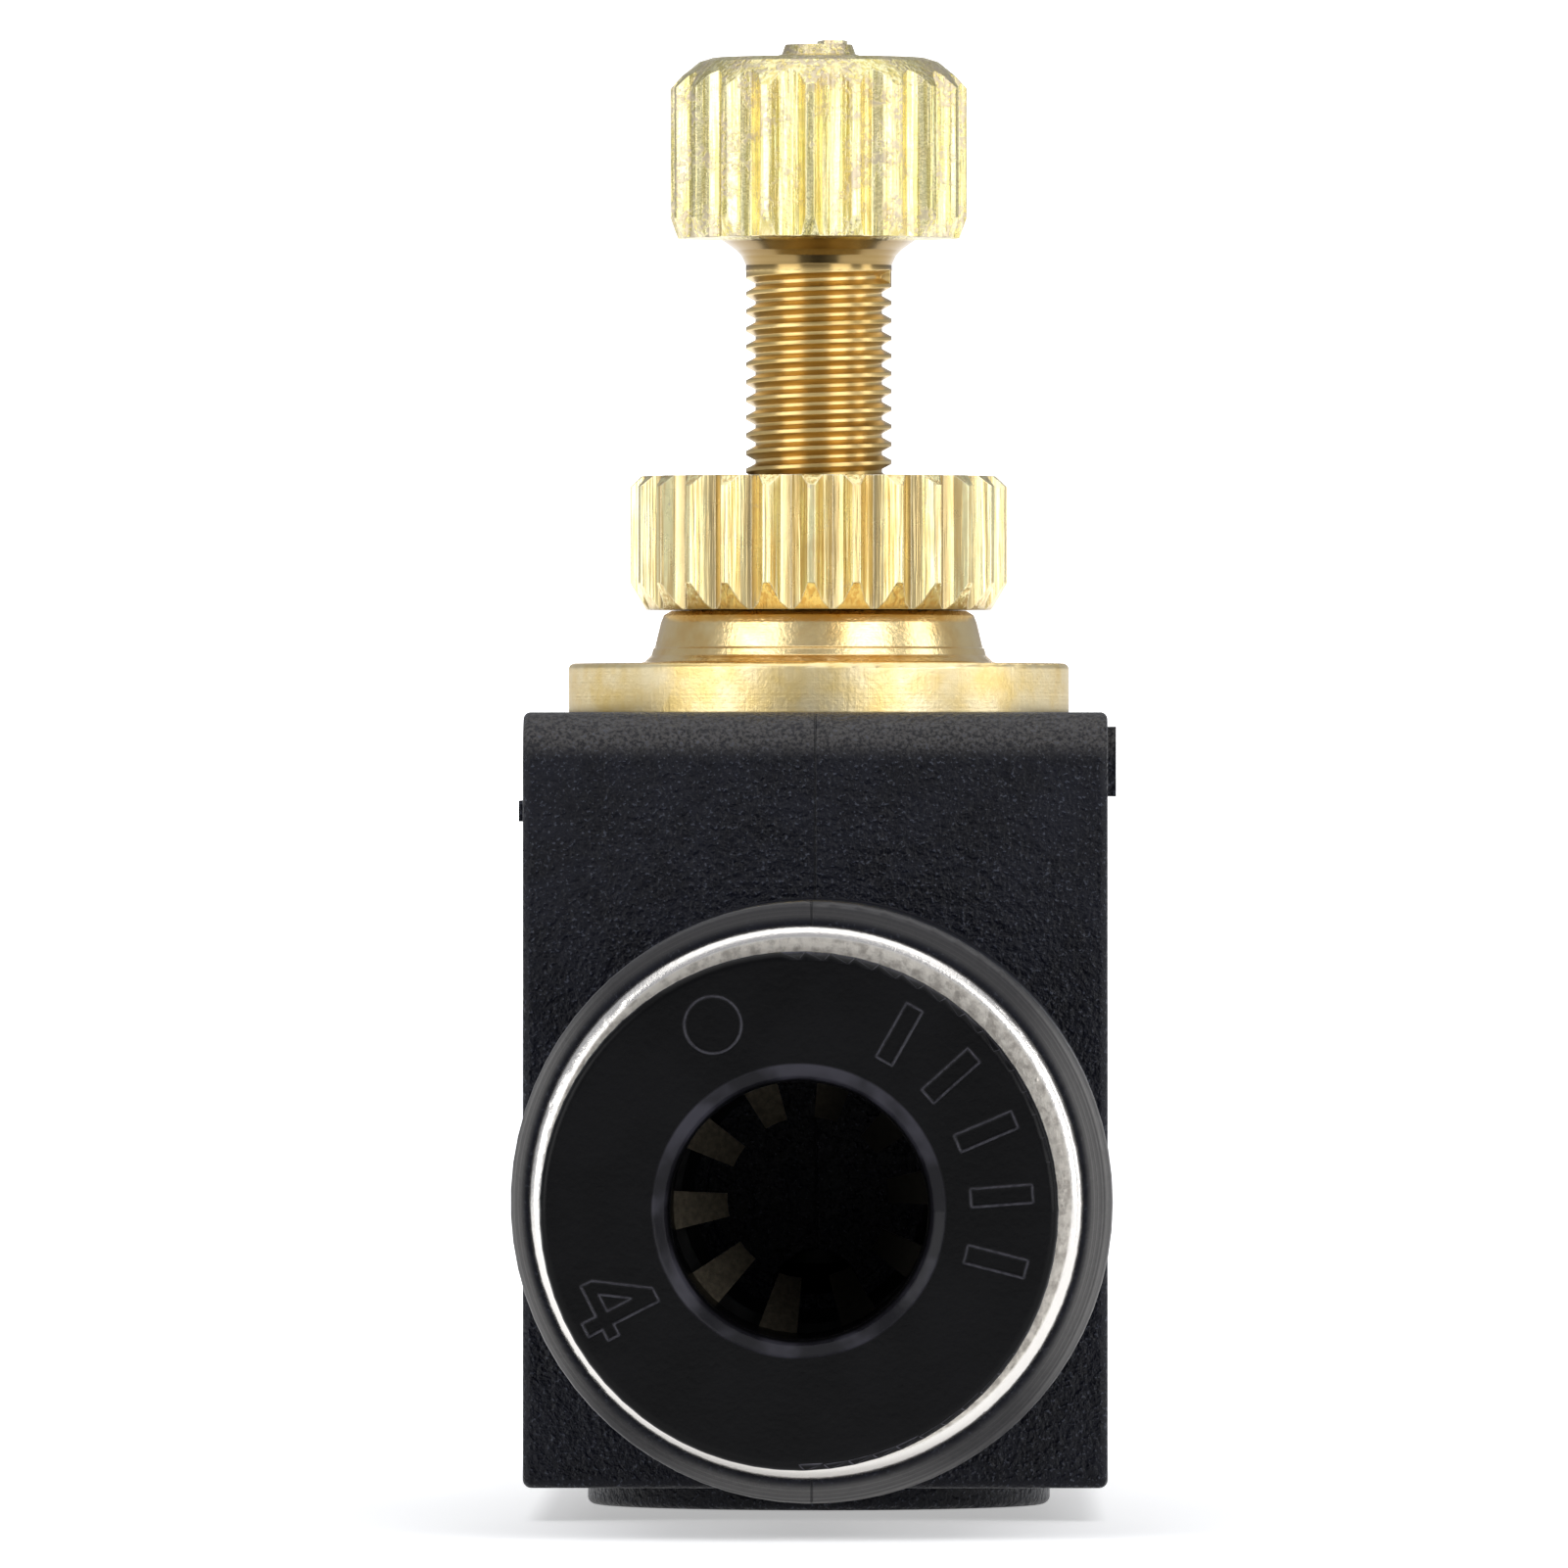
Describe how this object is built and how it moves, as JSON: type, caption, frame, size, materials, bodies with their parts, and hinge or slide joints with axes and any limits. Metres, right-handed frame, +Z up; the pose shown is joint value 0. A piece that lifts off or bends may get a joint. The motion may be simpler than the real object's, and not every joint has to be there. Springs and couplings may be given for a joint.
{
  "type": "flow control valve",
  "caption": "Inline one-way flow control valve with push-in tube ports at both ends, a knurled brass needle screw and a lock nut.",
  "frame": {"origin": "centre of the bounding box's underside, which is on the needle axis at the foot's underside", "axes": "+Z up along the needle, +Y along the tube towards the rear port, +X across the 10 mm wide block"},
  "size_m": [0.0102, 0.04, 0.0253],
  "materials": {
    "housing_plastic": "fine spark-eroded grain",
    "collar_plastic": "smooth satin",
    "inner_plastic": "satin",
    "brass": "turned, lightly tarnished",
    "nickel_plate": "bright plated, slightly stained",
    "spring_steel": "satin",
    "seal_rubber": "matte"
  },
  "bodies": {
    "valve_body": {"housing": "housing_plastic", "needle_guide": "brass", "guide_o_ring": "seal_rubber", "seat_sleeve": "inner_plastic", "check_lip_seal": "seal_rubber", "front_guide_ring": "nickel_plate", "front_grip_ring": "spring_steel", "front_backup_ring": "inner_plastic", "front_port_seal": "seal_rubber", "rear_guide_ring": "nickel_plate", "rear_grip_ring": "spring_steel", "rear_backup_ring": "inner_plastic", "rear_port_seal": "seal_rubber"},
    "needle_rise": {"stem_o_ring": "seal_rubber"},
    "needle": {"needle_screw": "brass"},
    "lock_nut": {"lock_nut": "brass"},
    "front_collar": {"front_release_collar": "collar_plastic"},
    "rear_collar": {"rear_release_collar": "collar_plastic"}
  },
  "joints": [
    {"name": "needle_lift", "type": "slide", "parent": "valve_body", "child": "needle_rise", "axis": [0, 0, 1], "range_m": [-0.00245, 0]},
    {"name": "needle_turn", "type": "hinge", "parent": "needle_rise", "child": "needle", "pos_m": [0, 0, 0.0103], "axis": [0, 0, 1], "range_deg": [-2880, 0]},
    {"name": "lock_nut_turn", "type": "hinge", "parent": "valve_body", "child": "lock_nut", "pos_m": [0, 0, 0.0166], "axis": [0, 0, 1], "range_deg": [0, 180]},
    {"name": "front_collar_push", "type": "slide", "parent": "valve_body", "child": "front_collar", "axis": [0, 1, 0], "range_m": [0, 0.0007], "stiffness_N_per_m": 7000, "deforming": ["front_grip_ring"]},
    {"name": "rear_collar_push", "type": "slide", "parent": "valve_body", "child": "rear_collar", "axis": [0, -1, 0], "range_m": [0, 0.0007], "stiffness_N_per_m": 7000, "deforming": ["rear_grip_ring"]}
  ],
  "couplings": [
    {"joint": "needle_turn", "follows": "needle_lift", "rad_per_m": 20533}
  ]
}
